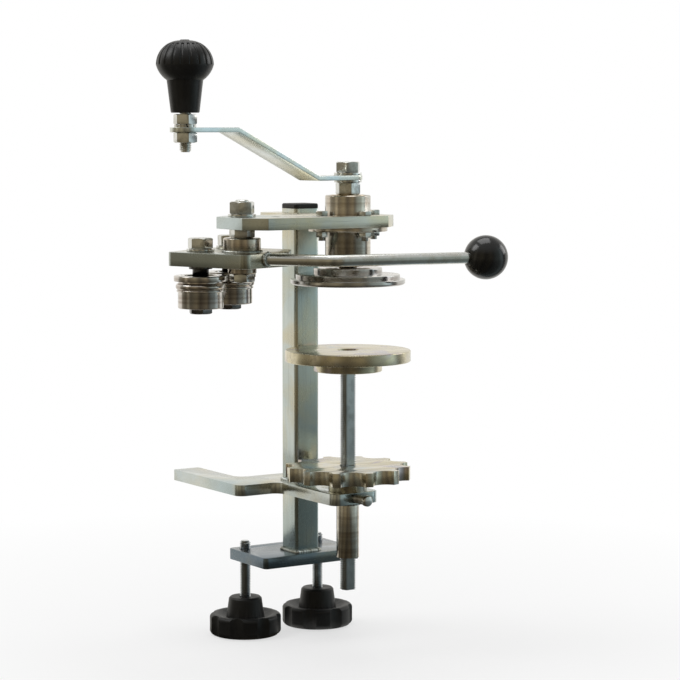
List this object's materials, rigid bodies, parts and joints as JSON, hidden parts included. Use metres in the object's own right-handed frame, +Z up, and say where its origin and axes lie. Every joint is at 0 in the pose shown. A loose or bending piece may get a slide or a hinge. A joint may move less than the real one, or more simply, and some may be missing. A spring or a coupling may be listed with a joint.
{
  "type": "can seamer",
  "caption": "Hand-cranked can seamer that clamps to a table edge: crank and chuck, swinging roller lever, and screw-lifted can support.",
  "frame": {"origin": "centre of the square column at the table bracket's underside, which is the table's top surface", "axes": "+Z up along the column, +Y over the table, -Y towards the operator, who turns the crank"},
  "size_m": [0.3052, 0.3082, 0.5318],
  "materials": {
    "zinc_plate": "zinc-plated sheet, satin",
    "turned_steel": "turned, satin",
    "wheel_steel": "ground, zinc-plated",
    "polished_steel": "turned and polished",
    "bright_rod": "bright zinc",
    "zinc_hardware": "bright zinc",
    "threaded_rod": "zinc-plated thread",
    "bearing_steel": "ground ring, dark seals",
    "black_steel": "blackened",
    "bronze": "machined",
    "black_plastic": "moulded, satin",
    "gloss_black_plastic": "moulded, gloss"
  },
  "bodies": {
    "root": {"column": "zinc_plate", "column_cap": "black_plastic", "base_plate": "zinc_plate", "table_bracket": "zinc_plate", "guide_sleeve": "zinc_plate", "guide_screw": "zinc_hardware", "top_plate": "zinc_plate", "spindle_housing": "turned_steel", "upper_bush": "bronze", "lower_bush": "bronze", "flange_bolts": "zinc_hardware", "flange_nuts": "zinc_hardware", "pivot_bolt": "zinc_hardware", "pivot_nut": "zinc_hardware", "pivot_washer": "zinc_hardware", "pivot_jam_nut": "zinc_hardware"},
    "spindle": {"spindle": "turned_steel", "chuck": "turned_steel", "chuck_bolt": "zinc_hardware", "spindle_nut": "zinc_hardware", "crank_arm": "zinc_plate", "crank_bolt": "zinc_hardware", "crank_washers": "zinc_hardware", "knob_stud": "zinc_hardware", "knob_stud_nuts": "zinc_hardware", "knob_stud_washer": "zinc_hardware"},
    "crank_knob": {"crank_knob": "gloss_black_plastic"},
    "lever": {"lever_plate": "zinc_plate", "lever_hub": "turned_steel", "handle_rod": "bright_rod", "handle_ball": "gloss_black_plastic", "roller_bolts": "zinc_hardware", "roller_washers": "zinc_hardware", "roller_spacers": "zinc_hardware", "roller_nuts": "black_steel"},
    "first_roller": {"first_roller": "polished_steel", "first_roller_bearings": "bearing_steel"},
    "second_roller": {"second_roller": "polished_steel", "second_roller_bearings": "bearing_steel"},
    "star_wheel": {"star_wheel": "wheel_steel"},
    "lift": {"lift_rod": "threaded_rod", "support_bearing": "bearing_steel"},
    "support_disc": {"support_disc": "wheel_steel"},
    "left_clamp_screw": {"left_clamp_screw": "threaded_rod"},
    "left_clamp_grip": {"left_clamp_grip": "black_plastic"},
    "right_clamp_screw": {"right_clamp_screw": "threaded_rod"},
    "right_clamp_grip": {"right_clamp_grip": "black_plastic"}
  },
  "joints": [
    {"name": "crank_turn", "type": "hinge", "parent": "root", "child": "spindle", "pos_m": [0, -0.0785, 0.25], "axis": [0, 0, 1], "continuous": true},
    {"name": "crank_knob_spin", "type": "hinge", "parent": "spindle", "child": "crank_knob", "pos_m": [-0.18291, -0.11738, 0.34], "axis": [0, 0, 1], "continuous": true},
    {"name": "lever_swing", "type": "hinge", "parent": "root", "child": "lever", "pos_m": [-0.098, -0.0635, 0.22], "axis": [0, 0, 1], "range_deg": [-31, 30]},
    {"name": "first_roller_spin", "type": "hinge", "parent": "lever", "child": "first_roller", "pos_m": [-0.12403, -0.03746, 0.188], "axis": [0, 0, 1], "continuous": true},
    {"name": "second_roller_spin", "type": "hinge", "parent": "lever", "child": "second_roller", "pos_m": [-0.07519, -0.00361, 0.188], "axis": [0, 0, 1], "continuous": true},
    {"name": "star_wheel_turn", "type": "hinge", "parent": "root", "child": "star_wheel", "pos_m": [0, -0.0785, 0.02], "axis": [0, 0, 1], "range_deg": [-5940, 13500]},
    {"name": "lift_slide", "type": "slide", "parent": "root", "child": "lift", "axis": [0, 0, 1], "range_m": [-0.075, 0.033]},
    {"name": "support_disc_spin", "type": "hinge", "parent": "lift", "child": "support_disc", "pos_m": [0, -0.0785, 0.12], "axis": [0, 0, 1], "continuous": true},
    {"name": "left_clamp_slide", "type": "slide", "parent": "root", "child": "left_clamp_screw", "axis": [0, 0, 1], "range_m": [-0.006, 0.03]},
    {"name": "left_clamp_turn", "type": "hinge", "parent": "left_clamp_screw", "child": "left_clamp_grip", "pos_m": [-0.039, 0.033, -0.115], "axis": [0, 0, 1], "range_deg": [-1440, 7200]},
    {"name": "right_clamp_slide", "type": "slide", "parent": "root", "child": "right_clamp_screw", "axis": [0, 0, 1], "range_m": [-0.006, 0.03]},
    {"name": "right_clamp_turn", "type": "hinge", "parent": "right_clamp_screw", "child": "right_clamp_grip", "pos_m": [0.039, 0.033, -0.115], "axis": [0, 0, 1], "range_deg": [-1440, 7200]}
  ],
  "couplings": [
    {"joint": "lift_slide", "follows": "star_wheel_turn", "m_per_rad": -0.00031831},
    {"joint": "left_clamp_slide", "follows": "left_clamp_turn", "m_per_rad": 0.00023873},
    {"joint": "right_clamp_slide", "follows": "right_clamp_turn", "m_per_rad": 0.00023873}
  ]
}
